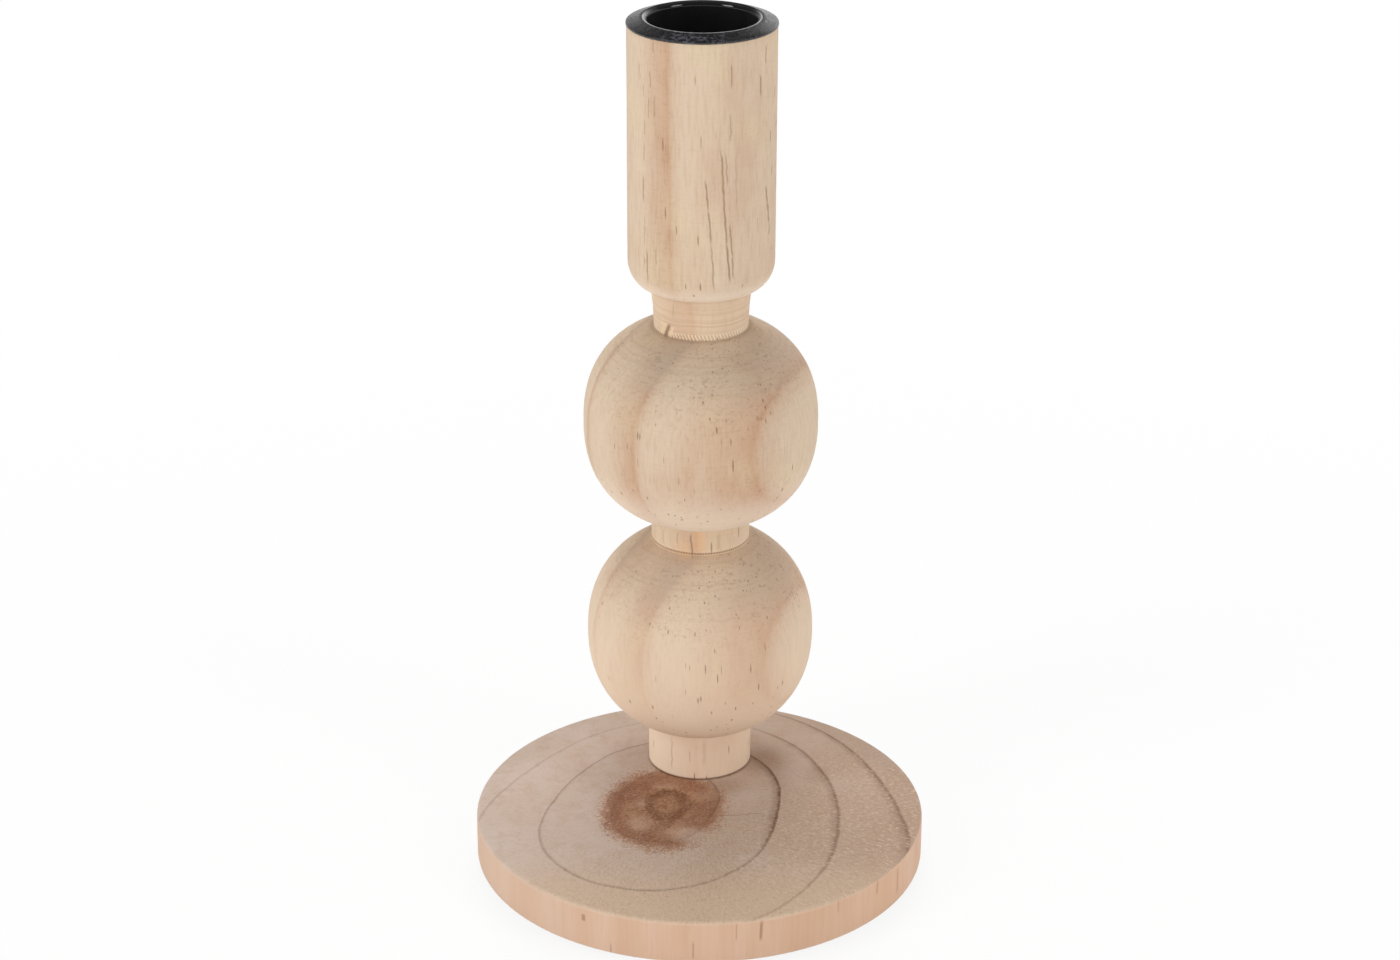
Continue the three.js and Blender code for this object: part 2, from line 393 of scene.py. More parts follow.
def turning(graph, given, number=1, relief=0.0):
    """The lathe, fed from the inputs of the tree that uses it."""
    asked = {"Object": given[f"Profile {number}"]}
    profile = graph.node("GeometryNodeObjectInfo", asked, transform_space="ORIGINAL")
    inputs = {
        "Profile": profile.outputs["Geometry"],
        "Points": given[f"Points {number}"],
        "Segments": given[f"Segments {number}"],
        "Relief": relief,
    }
    return graph.signal("GeometryNodeGroup", inputs, node_tree=lathe)


def moved(graph, geometry, place, turned=(0, 0, 0)):
    inputs = {"Geometry": geometry, "Translation": place, "Rotation": turned}
    return graph.signal("GeometryNodeTransform", inputs)


def cut_out(graph, body, *cutters):
    """The body without what the cutters cover."""
    node = graph.node("GeometryNodeMeshBoolean", {"Mesh 1": body}, operation="DIFFERENCE", solver="EXACT")
    for cutter in cutters:
        graph.feed(node.inputs["Mesh 2"], cutter)
    return Signal(graph, node.outputs[0])


def finish(graph, geometry, given, result):
    """Keeps crisp edges crisp, makes copies real and gives everything its material."""
    crisp = graph.math("GREATER_THAN", graph.signal("GeometryNodeInputMeshEdgeAngle"), SHARP_EDGE)
    faces = {"Geometry": geometry, "Shade Smooth": True}
    smooth = graph.signal("GeometryNodeSetShadeSmooth", faces, domain="FACE")
    edges = {"Geometry": smooth, "Selection": crisp, "Shade Smooth": False}
    shaded = graph.signal("GeometryNodeSetShadeSmooth", edges, domain="EDGE")
    real = graph.signal("GeometryNodeRealizeInstances", {"Geometry": shaded})
    coat = {"Geometry": real, "Material": given["Material"]}
    graph.feed(result, graph.signal("GeometryNodeSetMaterial", coat))


def turned_piece_tree(name, bored):
    """Turns one profile, or turns two and cuts the second out of the first."""
    sockets = {**profile_sockets(), "Place": "Vector", "Relief": "Float", "Material": "Material"}
    if bored:
        sockets |= {**profile_sockets(2), "Bore": "Vector"}
    graph, given, result = group_tree(name, sockets)
    body = moved(graph, turning(graph, given, 1, given["Relief"]), given["Place"])
    if bored:
        body = cut_out(graph, body, moved(graph, turning(graph, given, 2), given["Bore"]))
    finish(graph, body, given, result)
    return graph.tree


turned_tree = turned_piece_tree("Turned", bored=False)
bored_tree = turned_piece_tree("Turned and bored", bored=True)
print("sockets of the bored tree:", ", ".join(item.name for item in bored_tree.interface.items_tree))

# %% [markdown]
# A tree runs as a modifier on an empty mesh. Its inputs are set by their identifiers, and the
# evaluated result is kept as a plain mesh, so that nothing is left to compute later.

# %% Run a tree and keep a plain mesh
def link(name, mesh):
    """A mesh, a lamp or a camera as an object in the scene."""
    made = bpy.data.objects.new(name, mesh)
    bpy.context.scene.collection.objects.link(made)
    return made


def profile_values(name, profile, segments, number=1):
    """A profile's points as an object that a tree can turn, and the inputs that go with it."""
    mesh = bpy.data.meshes.new(name)
    mesh.from_pydata([(radius * MM, 0, height * MM) for radius, height in profile], [], [])
    return {
        f"Profile {number}": link(name, mesh),
        f"Points {number}": len(profile),
        f"Segments {number}": segments,
    }


def grow(name, tree, values):
    """Runs a tree with its named inputs set, and keeps the result as a plain mesh object."""
    carrier = link(name + " growing", bpy.data.meshes.new(name))
    modifier = carrier.modifiers.new("Grow", "NODES")
    modifier.node_group = tree
    names = {item.name: item.identifier for item in tree.interface.items_tree if item.in_out == "INPUT"}
    for label, value in values.items():
        modifier[names[label]] = value
    bpy.context.view_layer.update()
    evaluated = carrier.evaluated_get(bpy.context.evaluated_depsgraph_get())
    mesh = bpy.data.meshes.new_from_object(evaluated)
    carrier.modifiers.remove(modifier)
    profiles = [value for value in values.values() if isinstance(value, bpy.types.Object)]
    for helper in (carrier, *profiles):
        bpy.data.objects.remove(helper)
    mesh.name = name
    return link(name, mesh)


def turn(name, profile, segments, material, place, relief=0.0, bore=None):
    """Turns a profile about an upright axis at place, and bores a second profile out of it."""
    values = profile_values(name + " profile", profile, segments)
    values |= {"Place": [v * MM for v in place], "Relief": relief * MM, "Material": material}
    if bore:
        bore_profile, bore_segments, bore_place = bore
        values |= profile_values(name + " bore", bore_profile, bore_segments, 2)
        values["Bore"] = [v * MM for v in bore_place]
    return grow(name, bored_tree if bore else turned_tree, values)


# %% [markdown]
# Each finished piece takes the place of one or more plain solids. An open edge would be a hole
# in the mesh, and a volume below zero would mean that its faces point inwards, so both are
# measured.

# %% Fit a piece in the place of its solids
def fit_out(piece, slot, *nodes):
    """Lets a finished piece stand for its nodes and ride with the holder, and measures its mesh."""
    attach(piece, "root")
    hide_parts(*nodes)
    mesh = piece.data
    mesh.calc_loop_triangles()
    solid = bmesh.new()
    solid.from_mesh(mesh)
    open_edges = sum(not edge.is_manifold for edge in solid.edges)
    volume = solid.calc_volume(signed=True) / MM ** 3
    solid.free()
    print(f"{piece.name}: {len(mesh.loop_triangles)} triangles, {volume:.1f} mm3, {open_edges} open edges")


# %% [markdown]
# Colours are easiest to judge as they look on a screen, from 0 to 255. Blender's shaders want
# linear light, so tone() converts them. A surface is painted in thin coats: each mixes one more
# colour over what is there, as far as its signal says.

# %% Colours
def tone(red, green, blue):
    def linear(value):
        share = value / 255
        return share / 12.92 if share <= 0.04045 else ((share + 0.055) / 1.055) ** 2.4

    return (linear(red), linear(green), linear(blue), 1.0)


def mix(amount, first, second, blend="MIX"):
    """Goes from a first colour to a second. A colour is a signal or three levels on a screen."""
    graph = amount.graph
    node = graph.node("ShaderNodeMix", {0: amount}, data_type="RGBA", blend_type=blend)
    for socket, colour in ((6, first), (7, second)):
        graph.feed(node.inputs[socket], colour if isinstance(colour, Signal) else tone(*colour))
    return Signal(graph, node.outputs[2])


def layered(base, *coats):
    """Lays coats over a base, each (amount, colour) or (amount, colour, way of blending)."""
    for amount, colour, *blend in coats:
        base = mix(amount, base, colour, *blend)
    return base


print("middle grey on a screen is", round(tone(128, 128, 128)[0], 3), "in linear light")

# %% [markdown]
# Positions in a material come from Object coordinates in millimetres, which every pattern below
# shares, so that a pattern stays where it is when a piece is turned into a mesh again. The skin's
# own direction tells tops from sides and undersides.

# %% Places and surfaces in a material
def blank_graph(owner):
    """An empty node tree for a material or a world, and the socket that shows its surface."""
    owner.use_nodes = True
    owner.node_tree.nodes.clear()
    graph = Graph(owner.node_tree)
    kind = "ShaderNodeOutputWorld" if isinstance(owner, bpy.types.World) else "ShaderNodeOutputMaterial"
    return graph, graph.node(kind).inputs["Surface"]


def material_graph(name):
    material = bpy.data.materials.new(name)
    graph, surface = blank_graph(material)
    shader = graph.node("ShaderNodeBsdfPrincipled")
    graph.feed(surface, shader.outputs[0])
    return material, graph, shader


def place_in_mm(graph, centre=(0, 0, 0)):
    """Object coordinates in millimetres from centre, as a vector and as x, y and z."""
    inputs = {
        "Vector": graph.node("ShaderNodeTexCoord").outputs["Object"],
        "Scale": (1 / MM, 1 / MM, 1 / MM),
        "Location": [-v for v in centre],
    }
    vector = graph.signal("ShaderNodeMapping", inputs)
    return vector, *graph.split(vector)


def upward(graph):
    """1 where the skin faces straight up, 0 where it stands upright and -1 where it faces down."""
    return graph.split(graph.node("ShaderNodeTexCoord").outputs["Normal"])[2]


def curve_of(value, stops):
    """A grey ramp through (position, level) stops."""
    node = value.graph.node("ShaderNodeValToRGB", {0: value})
    ramp = node.color_ramp
    while len(ramp.elements) > 1:
        ramp.elements.remove(ramp.elements[-1])
    ramp.elements[0].position = stops[0][0]
    ramp.elements[0].color = (stops[0][1],) * 3 + (1,)
    for position, level in stops[1:]:
        ramp.elements.new(position).color = (level,) * 3 + (1,)
    return Signal(value.graph, node.outputs[0])


def bumped(shader, height, depth):
    """Bump from a height signal that runs from 0 to 1 over depth millimetres."""
    inputs = {"Height": height, "Distance": depth * MM, "Strength": 1.0}
    height.graph.feed(shader.inputs["Normal"], height.graph.signal("ShaderNodeBump", inputs))


# %% [markdown]
# Resin canals run along the grain as long thin tubes. Where the turned skin runs with the grain a
# canal shows as a dark dash, and where it cuts across, as a dot. A cell pattern that is stretched
# along the grain puts one slim grain into each cell, so one formula gives dots and dashes alike.

# %% Resin canals, shared by both woods
def resin_canals(x, y, z, spacing, stretch, reach, share):
    """1 in a canal and 0 outside. share is the part of the cells that hold one."""
    graph = z.graph
    cells = graph.node(
        "ShaderNodeTexVoronoi",
        {"Vector": graph.vector(x, y, z / stretch), "Scale": 1 / spacing},
        voronoi_dimensions="3D",
        feature="F1",
    )
    lot, size, _ = graph.split(cells.outputs["Color"])
    away = Signal(graph, cells.outputs["Distance"]) * spacing
    body = step(away / (reach * (0.5 + 0.5 * size)), 0.55, 1.0, 1.0, 0.0)
    return body * graph.math("LESS_THAN", lot, share)


# %% [markdown]
# A few marks are this holder's own: dark streaks down the barrel, a stain on the middle neck and
# some torn wood at the upper one. Each is a straight line between two points of the front view
# that tapers at both ends, so one small node group draws them all.

# %% Marks that stand out on the front of the stem
# Each streak is (x at top, height at top, x at bottom, height at bottom, width, strength).
barrel_streaks = [
    (3.8, 160.0, 4.7, 147.0, 0.42, 0.75),
    (4.4, 151.0, 5.3, 136.6, 0.46, 0.8),
    (5.1, 139.4, 6.0, 129.2, 0.52, 0.9),
    (4.8, 158.6, 5.3, 150.4, 0.34, 0.6),
    (5.8, 143.4, 6.4, 134.6, 0.4, 0.8),
    (6.3, 136.2, 6.7, 130.2, 0.36, 0.75),
    (0.7, 153.2, 1.5, 145.0, 0.4, 0.8),
    (1.3, 147.0, 2.1, 138.0, 0.42, 0.8),
    (2.0, 139.8, 2.7, 127.2, 0.4, 0.65),
    (6.9, 158.6, 7.2, 144.4, 0.3, 0.35),
    (13.2, 149.4, 13.6, 144.4, 0.34, 0.8),
    (13.5, 146.2, 14.1, 140.0, 0.36, 0.75),
    (14.1, 140.6, 14.1, 137.4, 0.3, 0.55),
    (11.6, 143.4, 11.6, 139.0, 0.25, 0.35),
    (5.9, 177.2, 6.0, 171.2, 0.34, 0.65),
    (11.8, 173.8, 12.0, 168.2, 0.36, 0.8),
    (13.0, 179.4, 13.0, 174.8, 0.3, 0.65),
    (5.8, 167.0, 5.8, 159.8, 0.34, 0.55),
    (-9.9, 181.4, -9.9, 178.0, 0.3, 0.55),
    (-12.8, 176.0, -12.6, 171.4, 0.26, 0.35),
    (-11.9, 171.6, -11.9, 168.2, 0.26, 0.4),
    (-10.5, 174.8, -10.5, 170.4, 0.3, 0.65),
    (-9.7, 170.0, -9.7, 164.2, 0.28, 0.5),
    (-10.8, 169.0, -10.8, 163.8, 0.28, 0.5),
    (-11.7, 164.0, -11.7, 160.2, 0.28, 0.5),
    (-11.8, 159.0, -11.8, 154.6, 0.3, 0.55),
    (-12.0, 152.2, -12.0, 145.4, 0.32, 0.6),
    (-11.8, 141.6, -11.8, 136.0, 0.28, 0.45),
    (-9.4, 137.6, -9.4, 132.6, 0.28, 0.5),
    (-11.4, 136.6, -11.1, 127.8, 0.32, 0.7),
]
foot_streaks = [(-6.2, 21.6, -6.1, 12.2, 0.28, 0.5), (1.0, 21.6, 1.0, 14.0, 0.9, 0.16)]
neck_streaks = [
    (-2.1, 71.4, -1.7, 65.0, 0.45, 0.9),
    (-8.0, 70.8, -8.0, 66.4, 0.3, 0.35),
    (-5.0, 71.2, -4.9, 67.8, 0.3, 0.5),
    (3.9, 71.2, 3.9, 66.4, 0.8, 0.2),
    (-5.9, 123.4, -5.9, 119.4, 0.3, 0.35),
]
neck_stain = [(-0.1, 72.8, 0.0, 66.0, 3.0, 0.75), (-3.6, 69.5, -3.4, 64.6, 4.0, 0.45)]
torn_wood = [(-6.5, 118.4, -7.6, 114.8, 0.8, 1.0)]
torn_edge = [(-5.8, 118.0, -6.7, 115.0, 0.6, 1.0), (-7.6, 118.6, -8.2, 115.2, 0.7, 0.6)]


def streak_group():
    """A node group: how strongly a straight streak in the x-z plane covers a point."""
    tree = bpy.data.node_groups.new("Streak", "ShaderNodeTree")
    labels = ("X", "Z", "Top X", "Top Z", "Bottom X", "Bottom Z", "Width", "Strength")
    for label in labels:
        tree.interface.new_socket(label, in_out="INPUT", socket_type="NodeSocketFloat")
    tree.interface.new_socket("Cover", in_out="OUTPUT", socket_type="NodeSocketFloat")
    graph = Graph(tree)
    given = graph.node("NodeGroupInput").outputs
    x, z, top_x, top_z, low_x, low_z, width, strength = (Signal(graph, given[label]) for label in labels)
    share = (z - low_z) / (top_z - low_z)
    middle = low_x + (top_x - low_x) * share
    across = abs(x - middle) / (width / 2)
    taper = step(share, 0.0, 0.25) * step(share, 0.75, 1.0, 1.0, 0.0)
    cover = step(across, 0.2, 1.4, 1.0, 0.0) * taper * strength
    graph.feed(graph.node("NodeGroupOutput").inputs[0], cover)
    return tree


streak_tree = streak_group()


def streaks(x, z, marks):
    """The strongest cover of any streak in the list."""
    fed = [dict(enumerate((x, z, *mark))) for mark in marks]
    return most(*(x.graph.signal("ShaderNodeGroup", inputs, node_tree=streak_tree) for inputs in fed))


print("streaks on the front of the stem:", len(barrel_streaks + foot_streaks + neck_streaks))

# %% [markdown]
# The stem was cut beside the heart of a fast-grown pine. Its rings are wide arcs about a pith that
# lies outside the piece, to the left, and leans slightly. A year's wood starts pale, turns pinkish
# over its last part and ends at an edge, so a ramp over the distance from the pith draws them
# all, and the balls show them as curved bands by themselves.

# %% Years of growth in the stem
PITH_X, PITH_Y = -31.5, 12.6
PITH_LEAN_X, PITH_LEAN_Y = -0.0087, 0.0199
LEAN_MIDDLE = 91.5
# Each year is (where its wood starts to darken, its dark edge, how dark it gets).
STEM_YEARS = [(6.4, 8, 0.6), (20.9, 22.3, 0.6), (30.5, 37.9, 0.85), (44.5, 55.5, 1.0), (68, 74, 1.0)]
YEAR_SPAN = 80

early_wood = (215, 193, 168)
late_wood = (198, 159, 129)
resin_brown = (128, 92, 64)


def year_shade(from_pith):
    """0 in a year's pale wood, rising to how dark it gets at its edge."""
    stops = []
    for start, edge, dark in STEM_YEARS:
        stops += [(start, 0.0), (edge - 1.2, 0.75 * dark), (edge - 0.2, dark), (edge + 0.6, 0.35 * dark)]
        stops += [(edge + 2.2, 0.0)]
    return curve_of(from_pith / YEAR_SPAN, [(place / YEAR_SPAN, level) for place, level in stops])


print("edges of the years, in mm from the pith:", [edge for _, edge, _ in STEM_YEARS])

# %% [markdown]
# The pine's material starts with its growth: the distance from the leaning pith, made uneven by
# noise, gives how dark the year's wood is. The widest year is narrower up in the barrel.

# %% Growth of the pine
pine, graph, shader = material_graph("bare turned pine")
place, x, y, z = place_in_mm(graph, stem_axis)
facing = upward(graph)
top = step(abs(facing), 0.2, 0.8)

lean = z - LEAN_MIDDLE
from_pith = distance(x - PITH_X - lean * PITH_LEAN_X, y - PITH_Y - lean * PITH_LEAN_Y)
wave = (noise(place, (24, 24, 70)) - 0.5) * 1.8
ripple = (noise(place, (2.5, 2.5, 9), detail=3.0) - 0.5) * 0.6
narrow_year = step(z, 116, 134) * step(from_pith, 41, 45)
late = year_shade(from_pith + wave + ripple) * (1 - 0.75 * narrow_year)
wide_year = between(from_pith, 37.5, 55.5, 2.0) * (1 - 0.6 * narrow_year)
print("the pine's growth takes", len(graph.tree.nodes), "nodes")

# %% [markdown]
# Sanded pine isn't smooth to the eye: short fibres run with the grain, soft clouds of colour lie
# across it, and on the balls' tops the grain is cut across and breaks into small chips.

# %% Texture of the pine
skewed = graph.vector(x * 0.8 + y * 0.6, y * 0.8 - x * 0.6, z)
fibre = noise(skewed, (0.55, 0.55, 5.5), detail=3.0, roughness=0.65)
cloud = noise(place, (9, 9, 22))
patch = noise(place, (11, 11, 14), detail=3.0)
cluster = noise(place, (3.2, 3.2, 3.0), detail=3.0, roughness=0.6)
chips = noise(place, (1.4, 1.4, 0.55), roughness=0.6)
specks = step(chips, 0.53, 0.64) * step(cluster, 0.48, 0.66) * step(facing, 0.1, 0.5)
specks = specks * (0.3 + 0.7 * most(late, wide_year * 0.7))
print("with its texture it takes", len(graph.tree.nodes))

# %% [markdown]
# A lathe leaves its own marks: fine lines round the stem, coarser ones on the necks, and slanted
# ticks where the tool skated at the end of a cut. They are formulas of the height and of the
# angle round the axis.

# %% Marks of the lathe
def tool_lines(z, per_mm):
    """Uneven lines round the stem, as a noise of the height alone."""
    inputs = {"W": z, "Scale": per_mm, "Detail": 3.0, "Roughness": 0.7}
    return z.graph.signal("ShaderNodeTexNoise", inputs, noise_dimensions="1D")


def chatter(x, y, z, low, high, count, slant):
    """Ticks round the stem between two heights, from 0 to 1."""
    angle = x.graph.math("ARCTAN2", x, 0 - y)
    wave = x.graph.math("SINE", angle * count + z * slant)
    return step(wave, -0.2, 0.8) * between(z, low, high, 0.25)


fine_lines = tool_lines(z + (cloud - 0.5) * 0.8, 1.3)
neck = between(z, upper_neck_bottom + 0.9, barrel_bottom - 0.2, 0.4)
neck = neck + between(z, neck_bottom, neck_top, 0.4) * 0.4
neck_lines = step(tool_lines(z + (cloud - 0.5) * 1.5, 1.1), 0.46, 0.66) * neck
ticks = chatter(x, y, z, upper_neck_bottom + 0.15, upper_neck_bottom + 1.1, 84, 3.5)
ticks = ticks * step(cluster, 0.36, 0.54)
low_ticks = chatter(x, y, z, neck_bottom + 0.3, neck_bottom + 1.2, 110, 0.4)
scratch = between(z, neck_bottom + 0.35, neck_bottom + 0.5, 0.25)
scratch = scratch + between(z, upper_neck_bottom - 0.1, upper_neck_bottom + 0.1, 0.3) * 0.6
print("with the lathe's marks it takes", len(graph.tree.nodes))

# %% [markdown]
# The holder's own marks are drawn on its front half alone. Canals are common in a wide year, rare
# in the rest, and few on the necks and under the balls. A dark line along the bottom of the foot,
# deepest in front, is a painted shadow where the foot meets the disc.

# %% Canals, streaks and stains of the pine
share = (0.12 + 0.25 * late + 0.6 * wide_year) * (1 - 0.7 * neck) * step(facing, -0.95, -0.5, 0.3)
canals = resin_canals(x + z * 0.03, y, z, 1.1, 8.0, 0.26, share) * step(patch, 0.32, 0.48)
front = graph.math("LESS_THAN", y, 0.0)
shaky_x = x + (noise(place, (2, 2, 1.6), detail=1.0) - 0.5) * 0.5
marks = streaks(shaky_x, z, barrel_streaks + foot_streaks + neck_streaks) * front
stain = streaks(x, z, neck_stain) * front
torn = streaks(shaky_x, z, torn_wood) * front
pale_edge = streaks(shaky_x, z, torn_edge) * front
# Painted shadow along the bottom of the foot, where it meets the disc, deepest in front.
foot_contact_shade = step(z, foot_bottom + 0.5, foot_bottom + 0.1) * step(y, 0, -9, 0.2, 0.6)
print("with its own marks it takes", len(graph.tree.nodes))

# %% [markdown]
# The colour is built as a painter would: a ground of early and late wood, and thin coats over it,
# each with a signal that says where it lies. Where the skin faces up the open grain is darker, and
# painted shade darkens it further. Where it faces down, low on the stem near the pale disc and on
# the left of the foot, painted light makes it paler. The streaks stay out of the bump, because a
# shader that evaluates all of them twice grows too large.

# %% The stem's pine
wood = layered(
    mix(late * (0.8 + 0.4 * cloud), early_wood, late_wood),
    (step(patch, 0.5, 0.7) * 0.35, (220, 200, 164)),
    (step(cloud, 0.5, 0.75) * 0.35, (238, 216, 206), "MULTIPLY"),
    (step(fibre, 0.42, 0.75) * 0.2, (190, 156, 124), "MULTIPLY"),
    (step(fine_lines, 0.45, 0.7) * (0.03 + 0.12 * top), (190, 165, 140), "MULTIPLY"),
    (step(chips, 0.5, 0.7) * (0.05 + 0.12 * late + 0.08 * top), (186, 156, 130), "MULTIPLY"),
    # Painted shade on the tops, where the open end grain is darker too; late wood there turns greyer.
    (step(facing, 0.25, 0.9) * (0.2 + 0.2 * late), (190, 185, 181), "MULTIPLY"),
    (step(facing, 0.3, 0.9) * late * 0.6, (191, 181, 166)),
    # Painted light: paler undersides, a paler stem low down near the disc and a paler left side of the
    # foot.
    (step(facing, -0.1, -0.8) * 0.75, (240, 220, 200)),
    (step(z, 75, 19) * 0.62, (242, 216, 190)),
    (step(x, 3, -9) * step(z, 24, 19) * 0.6, (243, 222, 198)),
    (neck * 0.35, (232, 204, 174)),
    (neck_lines * 0.4, (196, 160, 124)),
    (stain * 0.5, (232, 184, 130)),
    (low_ticks * 0.25, (240, 214, 180)),
    (scratch * (0.35 + 0.5 * low_ticks), (132, 96, 68)),
    (ticks * 0.75, (250, 230, 198)),
    (specks * 0.34, (118, 98, 82)),
    (canals * 0.62, resin_brown),
    (marks * 0.74, resin_brown),
    (pale_edge * 0.6, (240, 214, 172)),
    (torn * 0.7, (124, 86, 54)),
    # Painted shadow at the bottom of the foot.
    (foot_contact_shade, (120, 84, 62)),
)
graph.feed(shader.inputs["Base Color"], wood)
graph.feed(shader.inputs["Roughness"], 0.58 + 0.2 * fibre)
shader.inputs["Specular IOR Level"].default_value = 0.3
relief = fibre * 0.4 + fine_lines * 0.2 + chips * 0.3 + ticks - neck_lines * 0.5
bumped(shader, relief - canals * 0.7 - scratch, 0.05)
print("the whole pine takes", len(graph.tree.nodes), "nodes")

# %% [markdown]
# The base is a slice across a whole trunk, so its top shows the pith, a red-brown heart and the
# years' rings as thin dark lines. The rings are lopsided: a trunk that leans grows wider on one
# side. Dividing the distance from the pith by a gentle function of direction makes them round
# again, so that each ring is one value. On the wide side the dark line is broader.

# %% The trunk's shape and its rings
DISC_PITH = (-7.3, 0.6)
DISC_RINGS = [13.5, 29.2, 42.6, 55.6, 68]
DISC_SPAN = 72


def trunk_radius(x, y):
    """Distance from the pith, freed of the trunk's lopsided growth, and the direction from it."""
    away = most(distance(x, y), 0.01)
    cos1, sin1 = x / away, y / away
    cos2, sin2 = 2 * cos1 * cos1 - 1, 2 * cos1 * sin1
    growth = 1 - 0.011 * cos1 - 0.144 * sin1 - 0.12 * cos2 + 0.076 * sin2
    size = most(away / growth / 35 - 1, -0.6)
    shape = 1 + (growth - 1) * (1 + 1.314 * size) + (0.235 * cos2 - 0.135 * sin2) * size
    return away / shape, cos1, sin1


def ring_lines(ring):
    """A soft rise before each ring's edge, a peak on it and a quick fall behind it."""
    stops = [(0.0, 0.0)]
    for edge in DISC_RINGS:
        stops += [(edge - 2.4, 0.0), (edge - 0.7, 0.4), (edge - 0.35, 0.9), (edge, 1.0), (edge + 0.3, 0.0)]
    return curve_of(ring / DISC_SPAN, [(place / DISC_SPAN, level) for place, level in stops])


print("rings of the disc, in mm from its pith:", DISC_RINGS)

# %% [markdown]
# The heart is darkest in a ragged rim and in a small ring about the pith. The saw left a fuzz of
# short pale flecks that point away from the pith, mostly on the side where its teeth came out.
# A ragged outline comes from adding noise to a distance before it is cut off.

# %% Stains and flecks of the saw cut
HEART_CENTRE = (-7.7, -1.4)
HEART_HALF_SIZE = (13.1, 17.2)
CORE_HALF_SIZE = (4.4, 6.2)
# Each smudge is (centre x, centre y, half width, half depth, strength).
# Darker patches on the face: one just right of the foot, one further right and one in front of it.
disc_dark_patches = [(14.5, 21.0, 6.5, 9.0, 0.55), (26.5, 14.5, 3.5, 6.0, 0.3), (5.0, 9.0, 7.0, 6.0, 0.5)]
# Where the heart's rim is darkest, where its wood is pale inside, and where the rim is open.
heart_dark = [(1.4, -3.0, 4.4, 7.5, 0.9), (-14.0, 6.5, 4.5, 6.0, 0.7), (-11.0, -13.0, 5.0, 3.5, 0.8)]
heart_pale = [
    (-13.2, -8.0, 3.6, 5.0, 0.7),
    (-3.0, -11.8, 6.5, 3.8, 0.85),
    (-12.5, 1.5, 2.6, 3.5, 0.5),
    (-7.5, 10.0, 5.5, 3.5, 0.6),
    (1.5, 5.0, 4.5, 3.5, 0.6),
]
heart_open = [(1.0, -13.5, 6.5, 5.5, 0.75)]
# A shake runs from the heart to the first ring: (y, x) at its right end and at its left end.
disc_shake = [(-3.0, 15.5, -5.0, -3.5, 0.5, 0.7)]
# Marks down the front of the disc's edge, as on the stem.
edge_streaks = [
    (-1.2, 7.2, -1.2, 2.0, 0.5, 0.55),
    (7.7, 11.2, 7.7, 6.4, 0.36, 0.5),
    (12.9, 11.2, 12.7, 5.6, 0.7, 0.9),
    (29.0, 11.2, 29.0, 7.6, 0.4, 0.4),
    (37.6, 11.2, 37.4, 7.2, 0.45, 0.55),
    (42.2, 11.0, 42.2, 3.0, 0.5, 0.5),
    (-24.0, 9.6, -24.0, 7.6, 0.9, 0.9),
]


def smudges(x, y, ragged, stains):
    """How strongly soft-edged stains cover a point."""
    covers = []
    for centre_x, centre_y, half_x, half_y, strength in stains:
        away = distance((x - centre_x) / half_x, (y - centre_y) / half_y) + ragged
        covers.append(step(away, 0.2, 1.1, strength, 0.0))
    return most(*covers)


print("smudges on the disc:", len(disc_dark_patches + heart_dark + heart_pale + heart_open))

# %% [markdown]
# The disc is sawn across the grain, so its top shows rings, rays and fuzz, and its edge shows the
# same wood along the grain. One material covers both: the direction that the skin faces says
# which of the two is seen.

# %% Growth and texture of the end grain
end_grain, graph, shader = material_graph("sawn end grain")
place, x, y, z = place_in_mm(graph)
up = abs(upward(graph))
face_cover = step(up, 0.3, 0.85)

pith_x, pith_y = x - DISC_PITH[0], y - DISC_PITH[1]
radius, cos1, sin1 = trunk_radius(pith_x, pith_y)
wave = (noise(place, (12, 12, 60), detail=3.0) - 0.5) * 1.4
jitter = (noise(place, (1.3, 1.3, 9), detail=3.0) - 0.5) * 0.3
cloud = noise(place, (15, 15, 40), detail=3.0)
mottle = noise(place, (3.0, 3.0, 20), detail=4.0, roughness=0.6)
fuzz = noise(place, (0.55, 0.55, 3), detail=3.0, roughness=0.7)
rays = noise(graph.vector(cos1, sin1, radius), (1 / 80, 1 / 80, 0.9), roughness=0.6)
spots = noise(place, (1.7, 2.4, 20), detail=4.0, roughness=0.65)
rough_side = step(x * 0.6 - y * 0.75 + (cloud - 0.5) * 45, -14, 20)

wide_side = step(cos1 + 0.15 * sin1, 0.4, 0.98)
line = ring_lines(radius + wave + jitter)
line = graph.math("POWER", line, 2.8 - 1.95 * wide_side) * (0.48 + 0.42 * wide_side)
line = line * (0.6 + 0.8 * mottle) * step(radius, 18, 26, 0.5) * step(radius, 31, 38, 1.0, 0.68)
canals = resin_canals(x, y, z, 2.3, 9.0, 0.26, 0.14)
print("the end grain's growth and texture take", len(graph.tree.nodes), "nodes")

# %% [markdown]
# The heart is an oval with a ragged outline. Its rim is dark in some places and open in one, its
# middle is paler, and a small dark ring lies close about the pith.

# %% The heart
ragged = (mottle - 0.5) * 0.35 + (cloud - 0.5) * 0.35
heart = distance((x - HEART_CENTRE[0]) / HEART_HALF_SIZE[0], (y - HEART_CENTRE[1]) / HEART_HALF_SIZE[1])
heart = heart + ragged
heart_cover = step(fuzz + step(heart, 0.62, 1.4, 0.32, -0.32), 0.34, 0.62)
heart_cover = heart_cover * (1 - smudges(x, y, ragged, heart_open))
rim = between(heart, 0.74, 0.86, 0.16) * (0.3 + 0.8 * step(cloud - x * 0.014, 0.38, 0.72))
rim = most(rim * step(y, 6, 16, 1.0, 0.5), smudges(x, y, ragged, heart_dark))
rim = rim * step(fuzz, 0.25, 0.55, 0.5, 1.0)
core = distance(pith_x / CORE_HALF_SIZE[0], pith_y / CORE_HALF_SIZE[1])
core = core + (mottle - 0.5) * 0.5 + (spots - 0.5) * 0.9
core_ring = between(core, 0.82, 0.94, 0.38) * step(fuzz, 0.66, 0.4, 0.45)
